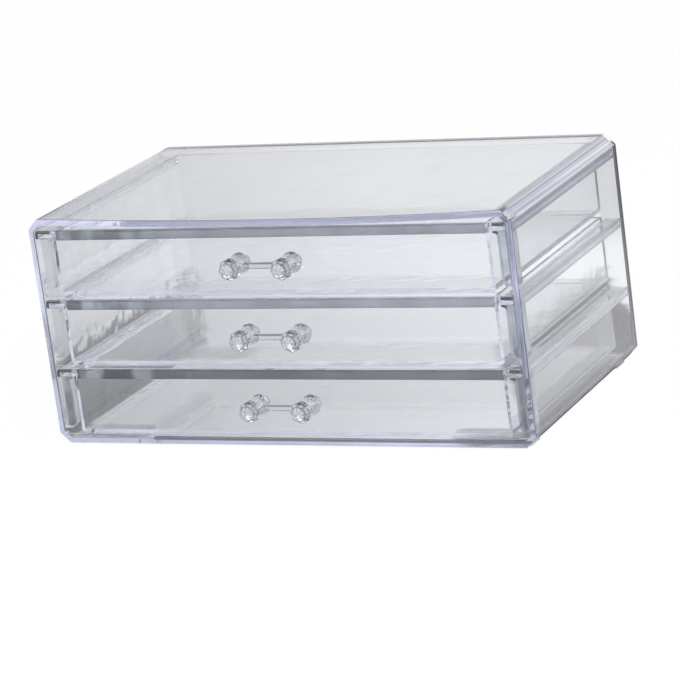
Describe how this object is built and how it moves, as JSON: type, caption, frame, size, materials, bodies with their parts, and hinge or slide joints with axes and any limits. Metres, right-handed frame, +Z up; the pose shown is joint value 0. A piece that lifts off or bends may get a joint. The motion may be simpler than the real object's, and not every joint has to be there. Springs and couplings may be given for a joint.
{
  "type": "desktop drawer organizer",
  "caption": "Clear moulded organizer casing with shallow pull-out drawers for make-up and jewellery, each with a cut-knob handle.",
  "frame": {"origin": "on the surface that the feet stand on, under the middle of the whole object, handles included", "axes": "-Y towards the user, the way the drawers open; +X to the user's right; +Z up"},
  "size_m": [0.24, 0.1506, 0.1094],
  "materials": {
    "shell": "clear, polished",
    "feet": "clear, polished",
    "rails": "clear, polished",
    "trays": "clear, polished",
    "fronts": "clear, polished",
    "front_bars": "clear, polished",
    "handles": "clear, polished",
    "caps": "clear, polished"
  },
  "bodies": {
    "casing": {"casing_shell": "shell", "feet": "feet", "rail_left_bottom": "rails", "rail_right_bottom": "rails", "rail_left_middle": "rails", "rail_right_middle": "rails", "rail_left_top": "rails", "rail_right_top": "rails"},
    "drawer_bottom": {"tray_bottom": "trays", "front_bottom": "fronts", "front_bar_bottom": "front_bars", "handle_bottom": "handles", "handle_caps_bottom": "caps"},
    "drawer_middle": {"tray_middle": "trays", "front_middle": "fronts", "front_bar_middle": "front_bars", "handle_middle": "handles", "handle_caps_middle": "caps"},
    "drawer_top": {"tray_top": "trays", "front_top": "fronts", "front_bar_top": "front_bars", "handle_top": "handles", "handle_caps_top": "caps"}
  },
  "joints": [
    {"name": "drawer_bottom_slide", "type": "slide", "parent": "casing", "child": "drawer_bottom", "axis": [0, -1, 0], "range_m": [0, 0.105]},
    {"name": "drawer_middle_slide", "type": "slide", "parent": "casing", "child": "drawer_middle", "axis": [0, -1, 0], "range_m": [0, 0.105]},
    {"name": "drawer_top_slide", "type": "slide", "parent": "casing", "child": "drawer_top", "axis": [0, -1, 0], "range_m": [0, 0.105]}
  ]
}
